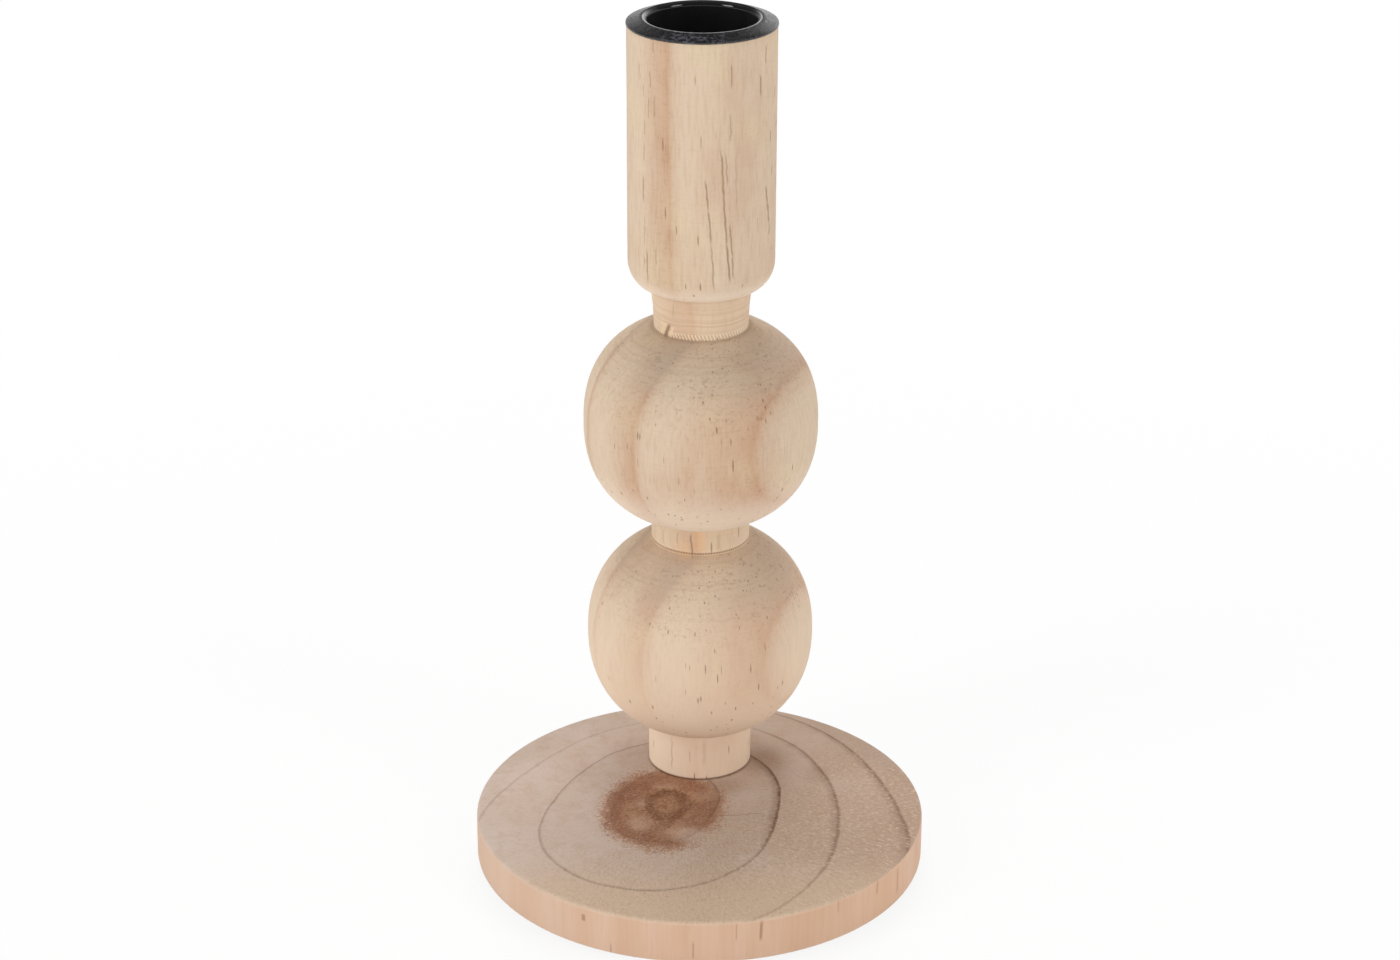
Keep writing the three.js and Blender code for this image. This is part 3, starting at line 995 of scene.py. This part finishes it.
heartwood = layered(
    mix(step(spots, 0.38, 0.62), (144, 93, 60), (175, 127, 92)),
    (smudges(x, y, ragged, heart_pale), (200, 164, 138)),
    (rim * 0.8, (138, 82, 51)),
    (step(fuzz, 0.5, 0.66) * 0.6, (194, 152, 120)),
    (step(fuzz, 0.47, 0.32) * 0.7, (110, 68, 42)),
)
print("with the heart they take", len(graph.tree.nodes))

# %% [markdown]
# The face is coated like the pine: broad changes first, with painted light towards the back left
# and painted shade towards the right, then the saw's scoring, the heart, the rings' lines, a painted
# shadow round the foot that is darkest in front, and the flecks last.

# %% The disc's top face
# Painted shadow round the foot on the disc: full under the foot, fading just outside it, darkest in front.
foot_contact_shade = step(distance(x, y - axis_y), foot_radius + 0.1, foot_radius + 0.7, 1.0, 0.0)
shake = streaks(y + (mottle - 0.5) * 2, x, disc_shake)
face = layered(
    mix(step(cloud, 0.35, 0.65), (203, 183, 169), (194, 171, 152)),
    # Painted light: paler towards the back left.
    (step(y * 0.5 - x + (cloud - 0.5) * 40, -20, 30) * 0.5, (210, 194, 184)),
    (step(mottle, 0.42, 0.7) * 0.4, (190, 161, 137)),
    (step(rays, 0.5, 0.34) * (0.1 + 0.3 * rough_side), (164, 132, 108)),
    # Painted shade: darker towards the right.
    (step(x, 10, 42) * 0.6, (179, 151, 131)),
    (step(y, -16, -44) * 0.85, (214, 187, 160)),
    (smudges(x, y, ragged, disc_dark_patches) * 0.8, (150, 116, 92)),
    (heart_cover * 0.88, heartwood),
    (core_ring * 0.68, (112, 70, 43)),
    (line, (106, 68, 46)),
    # Painted shadow round the foot.
    (foot_contact_shade * (0.2 + mottle * 0.7) * step(y, axis_y, axis_y - 9, 0.4), (104, 68, 48)),
    (shake * 0.5, (128, 98, 80)),
    (step(rays, 0.54, 0.68) * (0.06 + 0.5 * rough_side) * (1 - 0.3 * heart_cover), (220, 198, 174)),
    (step(fuzz, 0.5, 0.72) * (0.16 + 0.2 * rough_side), (146, 116, 94)),
)
print("with the face they take", len(graph.tree.nodes))

# %% [markdown]
# The edge is warmer and smoother than the face, with long fibres and a few streaks. Its softened
# corners get a painted highlight.

# %% The disc's edge, and both together
fibre = noise(place, (0.8, 0.8, 12), detail=3.0, roughness=0.6)
corner_highlight = step(up, 0.05, 0.45) * step(up, 0.5, 0.95, 1.0, 0.0)
side = layered(
    mix(step(noise(place, (7, 7, 60)), 0.3, 0.7), (217, 185, 161), (211, 174, 146)),
    (step(fibre, 0.42, 0.75) * 0.22, (200, 154, 122)),
    (step(x, -15, -45) * 0.5, (203, 176, 156)),
    # Painted highlight on the softened corners.
    (corner_highlight * 0.3, (228, 204, 182)),
)
marks = streaks(x, z, edge_streaks) * graph.math("LESS_THAN", y, 0.0) * (1 - face_cover)
wood = layered(
    mix(face_cover, side, face),
    (canals * 0.45, (120, 82, 60)),
    (marks * 0.62, (142, 90, 60)),
)
graph.feed(shader.inputs["Base Color"], wood)
graph.feed(shader.inputs["Roughness"], 0.66 + 0.2 * fuzz)
shader.inputs["Specular IOR Level"].default_value = 0.25
cut = (rays * (0.3 + 0.7 * rough_side) + fuzz * 0.5 - line * 0.6) * face_cover
bumped(shader, cut + fibre * (1 - face_cover) * 0.6 - canals * 0.6 - marks, 0.06)
print("the whole end grain takes", len(graph.tree.nodes), "nodes")

# %% [markdown]
# The cup is pressed steel under black lacquer, glossy inside and satin on the flange, where a
# grey grain on the front is a painted sheen. High up inside, the left and right of the wall are a
# little duller. The black inside is painted lighter than the flange's, as painted light in its
# shade, and a thin pale line along the front of the lip is a painted highlight.

# %% Black lacquer
lacquer, graph, shader = material_graph("black lacquer")
place, x, y, _ = place_in_mm(graph, stem_axis)
peel = noise(place, (0.35, 0.35, 0.35), detail=3.0)
cloud = noise(place, (3.5, 3.5, 3.5), detail=3.0)
grain = noise(place, (0.9, 0.9, 0.9), detail=3.0, roughness=0.7)
from_axis = distance(x, y)
flange = step(from_axis, 12.4, 13.2)
# Where the painted sheen on the front of the flange lies.
front_sheen = step(distance(x + 2, y + 14), 3, 9.5, 0.85, 0.12)
# A painted highlight along the front of the lip's inner edge.
lip_highlight = between(from_axis, 12.15, 12.3, 0.15) * step(y, 6, 0)
dull = step(from_axis, 12.3, 12.0) * step(abs(x), 7, 10.5)
colour = layered(
    # Painted light: the black inside the cup is lighter than the flange's black.
    mix(cloud, (26, 26, 26), (36, 36, 36)),
    (flange, mix(cloud, (6, 6, 6), (19, 19, 21))),
    # Painted sheen: grey grain on the front of the flange.
    (step(grain, 0.46, 0.62) * flange * front_sheen, (80, 80, 90)),
    # Painted highlight: a thin pale line along the front of the lip.
    (lip_highlight, (176, 176, 176)),
)
graph.feed(shader.inputs["Base Color"], colour)
graph.feed(shader.inputs["Roughness"], 0.06 + flange * (0.12 + 0.16 * cloud) + dull * 0.3)
shader.inputs["Specular IOR Level"].default_value = 0.75
bumped(shader, (peel + grain) * flange, 0.1)
print("the lacquer takes", len(graph.tree.nodes), "nodes")

# %% [markdown]
# Zinc is bright metal with fine lines from drawing the wire, and felt is matted grey fibres with
# hardly any gloss.

# %% Zinc and felt
zinc, graph, shader = material_graph("bright zinc")
place, *_ = place_in_mm(graph)
drawn = noise(place, (0.25, 0.25, 3), detail=3.0)
cloud = noise(place, (2.5, 2.5, 2.5))
graph.feed(shader.inputs["Base Color"], mix(cloud, (206, 209, 214), (178, 182, 190)))
shader.inputs["Metallic"].default_value = 1.0
graph.feed(shader.inputs["Roughness"], 0.22 + 0.25 * drawn)
bumped(shader, drawn, 0.01)

felt, graph, shader = material_graph("pressed felt")
place, *_ = place_in_mm(graph)
matting = noise(place, (0.3, 0.3, 0.3), detail=4.0, roughness=0.7)
graph.feed(shader.inputs["Base Color"], mix(matting, (58, 56, 54), (106, 103, 100)))
shader.inputs["Roughness"].default_value = 0.95
shader.inputs["Specular IOR Level"].default_value = 0.1
bumped(shader, matting, 0.12)
print("materials:", ", ".join(m.name for m in (pine, end_grain, lacquer, zinc, felt)))

# %% [markdown]
# The stem is turned first. The tool also tore a little wood out at the foot of the upper neck:
# its points are pressed in along a short slanted line, as the torn fibres left it.

# %% The turned stem
TEAR_TOP = Vector((-6.5, 118.2))
TEAR_BOTTOM = Vector((-7.4, 115.4))
TEAR_WIDTH = 0.62
TEAR_DEPTH = 0.38


def tear_wood(piece):
    """Presses a short slanted groove into the front of the upper neck."""
    along = TEAR_BOTTOM - TEAR_TOP
    for vertex in piece.data.vertices:
        point = Vector((vertex.co.x, vertex.co.z)) / MM
        if vertex.co.y > axis_y * MM:
            continue
        share = min(1, max(0, (point - TEAR_TOP).dot(along) / along.length_squared))
        away = (point - TEAR_TOP - along * share).length / (TEAR_WIDTH * (0.5 + 0.5 * share))
        if away < 1:
            inwards = Vector((-vertex.co.x, axis_y * MM - vertex.co.y, 0)).normalized()
            vertex.co += inwards * TEAR_DEPTH * MM * (1 - away) * (0.4 + 0.6 * share)


stem = turn(
    "turned_stem", stem_profile(), segments=240, material=pine, place=stem_axis, relief=0.1
)
tear_wood(stem)
fit_out(stem, "unfinished_pine", "stem")

# %% [markdown]
# The disc is turned to a round with softened edges. Extra rings just inside the edge keep the
# flat faces shading flat. The bore for the stem's spigot, the screw and its head lies off the
# disc's centre, so it is a second turned shape that is cut out of the first.

# %% The base disc
disc_radius = disc_high.x
disc_edge = 0.8
screw_head_radius = 3.9
screw_head_rim = 0.4
countersink_radius = screw_head_radius + fitting_gap
countersink_rim = screw_low.z + screw_head_rim
socket_radius = spigot_radius + fitting_gap
socket_floor = stem_low.z - fitting_gap


def disc_profile():
    inner = disc_radius - disc_edge
    return [
        (0, disc_low.z),
        (inner - 0.5, disc_low.z),
        *arc(inner, disc_low.z + disc_edge, disc_edge, disc_edge, -90, 0, 6),
        *arc(inner, disc_high.z - disc_edge, disc_edge, disc_edge, 0, 90, 6),
        (inner - 0.5, disc_high.z),
        (0, disc_high.z),
    ]


bore_profile = [
    (0, disc_low.z - 1),
    (countersink_radius, disc_low.z - 1),
    (countersink_radius, countersink_rim),
    (pilot_radius, countersink_rim + countersink_radius - pilot_radius),
    (pilot_radius, socket_floor),
    (socket_radius, socket_floor),
    (socket_radius, disc_high.z + 1),
    (0, disc_high.z + 1),
]
disc_bore = (bore_profile, 64, stem_axis)
disc = turn(
    "sawn_base", disc_profile(), segments=360, material=end_grain, place=(0, 0, 0), bore=disc_bore
)
fit_out(disc, "end_grain_pine", "base_disc")

# %% [markdown]
# The cup is one pressed sheet: a closed floor with a rounded corner, a wall that opens slightly,
# a rolled lip and a flange that slopes down to the wood. Lacquer gathers on every edge, so all
# edges are rounded.

# %% The candle cup
cup_sheet = 0.8
cup_mouth_radius = 11.4
cup_floor_radius = 11.2
cup_corner = 1.2
cup_lip = 1.1
flange_radius = cup_high.x
flange_edge = 0.5
flange_break = 0.08
wood_top = stem_high.z


def cup_profile():
    rim_radius = cup_mouth_radius + cup_lip
    rise = cup_high.z - wood_top
    slope = (rise - flange_edge) / (flange_radius - rim_radius)
    slope_degrees = math.degrees(math.atan(slope))
    across = cup_sheet * math.hypot(1, slope)
    edge_inside = rim_radius + (rise - across) / slope
    wall_outside = cup_mouth_radius + cup_sheet
    under_flange = cup_high.z - across - slope * (wall_outside - rim_radius)
    outer_corner = cup_corner + cup_sheet
    outer_floor = cup_floor_radius + cup_sheet - outer_corner
    floor_top = cup_low.z + cup_sheet
    soft = flange_edge / 2.4
    soft_height = wood_top + flange_edge - soft + 0.04
    slope_low = (flange_radius - 0.5, cup_high.z - slope * (flange_radius - 0.5 - rim_radius))
    slope_high = (rim_radius + 0.6, cup_high.z - slope * 0.6)
    return [
        (0, cup_low.z),
        (outer_floor - 0.3, cup_low.z),
        *arc(outer_floor, cup_low.z + outer_corner, outer_corner, outer_corner, -90, 0, 8),
        (wall_outside, under_flange),
        (edge_inside, wood_top),
        (flange_radius - flange_break, wood_top),
        (flange_radius, wood_top + flange_break),
        *arc(flange_radius - soft, soft_height, soft, soft, 0, 90 - slope_degrees, 5),
        *straight(slope_low, slope_high, 3),
        *arc(rim_radius, cup_high.z - cup_lip, cup_lip, cup_lip, 90 - slope_degrees, 180, 12),
        *arc(cup_floor_radius - cup_corner, floor_top + cup_corner, cup_corner, cup_corner, 0, -90, 8),
        (0, floor_top),
    ]


cup = turn("lacquered_cup", cup_profile(), segments=192, material=lacquer, place=stem_axis)
fit_out(cup, "black_lacquer", "candle_cup")

# %% [markdown]
# The screw shows only its head, from beneath, but it is a whole screw. Its thread follows a rule,
# so a tree makes it: a fine grid of rings whose radius rises where the helix passes. Two thin
# blocks cut the cross recess.

# %% The wood screw
screw_shank_radius = 1.4
screw_plain = 8
screw_neck = screw_low.z + screw_head_rim + screw_head_radius - screw_shank_radius
thread_start = screw_neck + screw_plain
thread_pitch = 1.8
thread_rise = 0.6
tip_length = 4
recess_arm = (4.4, 1.0)
recess_depth = 1.8
head_break = 0.12


def screw_profile():
    tip_start = (screw_shank_radius, screw_high.z - tip_length)
    return [
        (0, screw_low.z),
        (screw_head_radius - 0.5, screw_low.z),
        *arc(screw_head_radius - head_break, screw_low.z + head_break, head_break, head_break, -90, 0, 3),
        (screw_head_radius, screw_low.z + screw_head_rim),
        (screw_shank_radius + 0.15, screw_neck - 0.15),
        (screw_shank_radius, screw_neck + 0.2),
        *straight((screw_shank_radius, thread_start), tip_start, 150),
        *straight(tip_start, (0.06, screw_high.z), 30),
        (0, screw_high.z),
    ]


def screw_tree():
    lengths = ("Thread start", "Point height", "Pitch", "Rise", "Tip length", "Recess height")
    sockets = {**profile_sockets(), **dict.fromkeys(lengths, "Float")}
    sockets |= {"Place": "Vector", "Recess": "Vector", "Material": "Material"}
    graph, given, result = group_tree("Screw", sockets)
    x, y, z = graph.split(graph.signal("GeometryNodeInputPosition"))
    start = Signal(graph, given["Thread start"])
    point = Signal(graph, given["Point height"])
    angle = graph.math("ARCTAN2", y, x) / (2 * math.pi)
    turns = (z - start) / given["Pitch"] - angle
    from_crest = abs(graph.math("FRACT", turns) - 0.5) * 2
    taper = graph.math("MINIMUM", (point - z) / given["Tip length"], 1.0, clamp=True)
    threaded = step(z, start, start + given["Pitch"])
    rise = step(from_crest, 0.0, 0.55, 1.0, 0.0) * taper * threaded * given["Rise"]
    outwards = graph.signal("ShaderNodeVectorMath", {0: graph.vector(x, y, 0)}, operation="NORMALIZE")
    offset = graph.signal("ShaderNodeVectorMath", {0: outwards, "Scale": rise}, operation="SCALE")
    shank = {"Geometry": turning(graph, given), "Offset": offset}
    threads = graph.signal("GeometryNodeSetPosition", shank)
    lift = graph.vector(0, 0, given["Recess height"])
    arms = []
    for quarter in (0, math.pi / 2):
        arm = graph.signal("GeometryNodeMeshCube", {"Size": given["Recess"]})
        arms.append(moved(graph, arm, lift, (0, 0, quarter)))
    finish(graph, moved(graph, cut_out(graph, threads, *arms), given["Place"]), given, result)
    return graph.tree


screw = grow(
    "wood_screw",
    screw_tree(),
    {
        **profile_values("screw profile", screw_profile(), 48),
        "Place": [v * MM for v in stem_axis],
        "Thread start": thread_start * MM,
        "Point height": screw_high.z * MM,
        "Pitch": thread_pitch * MM,
        "Rise": thread_rise * MM,
        "Tip length": tip_length * MM,
        "Recess": (recess_arm[0] * MM, recess_arm[1] * MM, 2 * recess_depth * MM),
        "Recess height": screw_low.z * MM,
        "Material": zinc,
    },
)
fit_out(screw, "zinc_steel", "base_screw")

# %% [markdown]
# Four felt pads keep the holder off the table. They are alike, so one turned pad is instanced on
# the corners of a small circle of points, and the tree makes the copies real. Each pad's edges are
# softened, and the bump of its material makes the felt uneven.

# %% The felt pads
pad_radius = (pad_high.x - pad_low.x) / 2
pad_circle = -(pad_low.y + pad_high.y) / 2
pad_profile = [
    (0, 0),
    (pad_radius - 0.6, 0),
    *arc(pad_radius - 0.2, 0.2, 0.2, 0.2, -90, 0, 3),
    *arc(pad_radius - 0.3, pad_high.z - 0.3, 0.3, 0.3, 0, 90, 3),
    (pad_radius - 0.8, pad_high.z),
    (0, pad_high.z),
]


def pads_tree():
    sockets = {**profile_sockets(), "Pads": "Int", "Circle radius": "Float", "Material": "Material"}
    graph, given, result = group_tree("Pads on a circle", sockets)
    sizes = {"Vertices": given["Pads"], "Radius": given["Circle radius"]}
    circle = graph.signal("GeometryNodeMeshCircle", sizes)
    copying = {"Points": circle, "Instance": turning(graph, given)}
    finish(graph, graph.signal("GeometryNodeInstanceOnPoints", copying), given, result)
    return graph.tree


pads = grow(
    "felt_pads",
    pads_tree(),
    {
        **profile_values("pad profile", pad_profile, 48),
        "Pads": 4,
        "Circle radius": pad_circle * MM,
        "Material": felt,
    },
)
fit_out(pads, "grey_felt", "felt_pad_front", "felt_pad_back", "felt_pad_left", "felt_pad_right")

# %% [markdown]
# The studio is a white table that the camera sees as plain white. A share of it round the holder
# stays an ordinary white surface, so that it keeps a soft shadow, and that share fades away with
# the distance. The table lies a hair below the pads, so that the two don't flicker.

# %% The white table
SHADOW_SHARE = 0.12
TABLE_SIZE = 6
TABLE_GAP = 0.02


def sees_background(graph):
    """1 for rays that show the background: straight from the camera, or off gloss or glass."""
    rays = graph.node("ShaderNodeLightPath").outputs
    straight_on = graph.math("MAXIMUM", rays["Is Camera Ray"], rays["Is Glossy Ray"])
    return most(straight_on, rays["Is Transmission Ray"])


def table_material():
    material = bpy.data.materials.new("white table")
    graph, surface = blank_graph(material)
    paper = graph.node("ShaderNodeBsdfDiffuse", {"Color": (0.95, 0.95, 0.95, 1)}).outputs[0]
    glow = graph.node("ShaderNodeEmission", {"Color": (1, 1, 1, 1), "Strength": 1.0}).outputs[0]
    x, y, _ = graph.split(graph.node("ShaderNodeTexCoord").outputs["Object"])
    shadow_share = step(distance(x, y), 0.12, 0.4, SHADOW_SHARE, 0.0)
    share = sees_background(graph) * (1 - shadow_share)
    graph.feed(surface, graph.signal("ShaderNodeMixShader", {0: share, 1: paper, 2: glow}))
    return material


bpy.ops.mesh.primitive_plane_add(size=TABLE_SIZE, location=(0, 0, -TABLE_GAP * MM))
table = bpy.context.object
table.name = "table"
table.data.materials.append(table_material())
print("the table's material takes", len(table.data.materials[0].node_tree.nodes), "nodes")

# %% [markdown]
# Bare wood hardly mirrors anything, but black lacquer shows the room it stands in. So the room is
# a formula of direction: white up to just above the horizon, dark above, with a dim back wall,
# brighter walls at its left and right ends and a faint ceiling. Only reflections see it. The
# camera sees white, and the wood is lit by an even sky.

# %% The room
SKY_LEVEL = 0.39
DARK_OF_ROOM = 0.04
BACK_WALL = 0.26
SIDE_WALLS = 2.5
CEILING = 0.22

world = bpy.data.worlds.new("studio")
bpy.context.scene.world = world
room, surface = blank_graph(world)
rightwards, behind, height = room.split(room.node("ShaderNodeTexCoord").outputs["Generated"])
side = abs(rightwards)
wall = step(side, 0.05, 0.3, BACK_WALL, SIDE_WALLS) * (1 + rightwards * 1.9)
wall = wall * step(side, 0.6, 0.42, 0.1) * step(height, 0.48, 0.2)
ceiling = step(height, 0.66, 0.86) * step(behind, 0.1, 0.4, 0.0, CEILING)
above = DARK_OF_ROOM + ceiling + wall * step(behind, 0.0, 0.4)
seen = above + (1 - above) * step(height, 0.1, 0.22, 1.0, 0.0)
seen = seen + (1 - seen) * room.node("ShaderNodeLightPath").outputs["Is Camera Ray"]
strength = SKY_LEVEL + (seen - SKY_LEVEL) * sees_background(room)
sky = room.node("ShaderNodeBackground", {"Color": (1, 1, 1, 1), "Strength": strength})
room.feed(surface, sky.outputs[0])
print("the room takes", len(world.node_tree.nodes), "nodes")

# %% [markdown]
# Two small soft boxes stand in front, to the left and right: their mirror images are the two
# spots inside the cup's lip. Two wide low ones below them fill in the undersides of the balls,
# and one hangs behind and lights the back of the disc.

# %% Soft boxes
# The lamps aim at this height of the stem, in metres.
LIT_HEIGHT = 0.09
# Each soft box is (name, degrees to the right of the front, degrees up, metres away, metres
# wide, watts, whether gloss mirrors it).
SOFT_BOXES = [
    ("left soft box", -60, 38, 1.1, 0.36, 1.9, True),
    ("right soft box", 60, 38, 1.1, 0.36, 1.3, True),
    ("low left fill", -55, 8, 1.1, 0.5, 4.3, False),
    ("low right fill", 55, 8, 1.1, 0.5, 3.5, False),
    ("back soft box", 180, 58, 0.9, 0.45, 3.5, False),
]


def soft_box(name, azimuth, elevation, away, size, power, in_gloss):
    """A square lamp that faces the middle of the stem."""
    target = Vector((0, axis_y * MM, LIT_HEIGHT))
    a, e = math.radians(azimuth), math.radians(elevation)
    direction = Vector((math.sin(a) * math.cos(e), -math.cos(a) * math.cos(e), math.sin(e)))
    lamp = bpy.data.lights.new(name, "AREA")
    lamp.shape = "SQUARE"
    lamp.size = size
    lamp.energy = power
    made = link(name, lamp)
    made.location = target + direction * away
    made.rotation_euler = (-direction).to_track_quat("-Z", "Y").to_euler()
    made.visible_glossy = in_gloss
    print(f"{name}: {power} W at {azimuth} degrees")


for box in SOFT_BOXES:
    soft_box(*box)

# %% [markdown]
# The camera stands where the photographer stood: in front, looking down on the holder with a
# long lens. Its place was worked out from the outlines of the disc, the balls and the rim.

# %% Camera
CAMERA_PLACE = Vector((-0.00013, -0.6196, 0.36126))
CAMERA_DOWN = math.radians(23.7)
CAMERA_ROLL = math.radians(0.2)
SENSOR_WIDTH = 36.0
FOCAL_PIXELS = 3229.0
IMAGE_WIDTH = 1400

lens = bpy.data.cameras.new("camera")
lens.sensor_fit = "HORIZONTAL"
lens.sensor_width = SENSOR_WIDTH
lens.lens = SENSOR_WIDTH * FOCAL_PIXELS / IMAGE_WIDTH
lens.clip_start = 0.01
camera = link("camera", lens)
look = Matrix.Rotation(math.pi / 2 - CAMERA_DOWN, 4, "X") @ Matrix.Rotation(CAMERA_ROLL, 4, "Z")
camera.matrix_world = Matrix.Translation(CAMERA_PLACE) @ look
bpy.context.scene.camera = camera
bpy.context.scene.view_settings.view_transform = "Standard"
print(f"lens {lens.lens:.1f} mm")
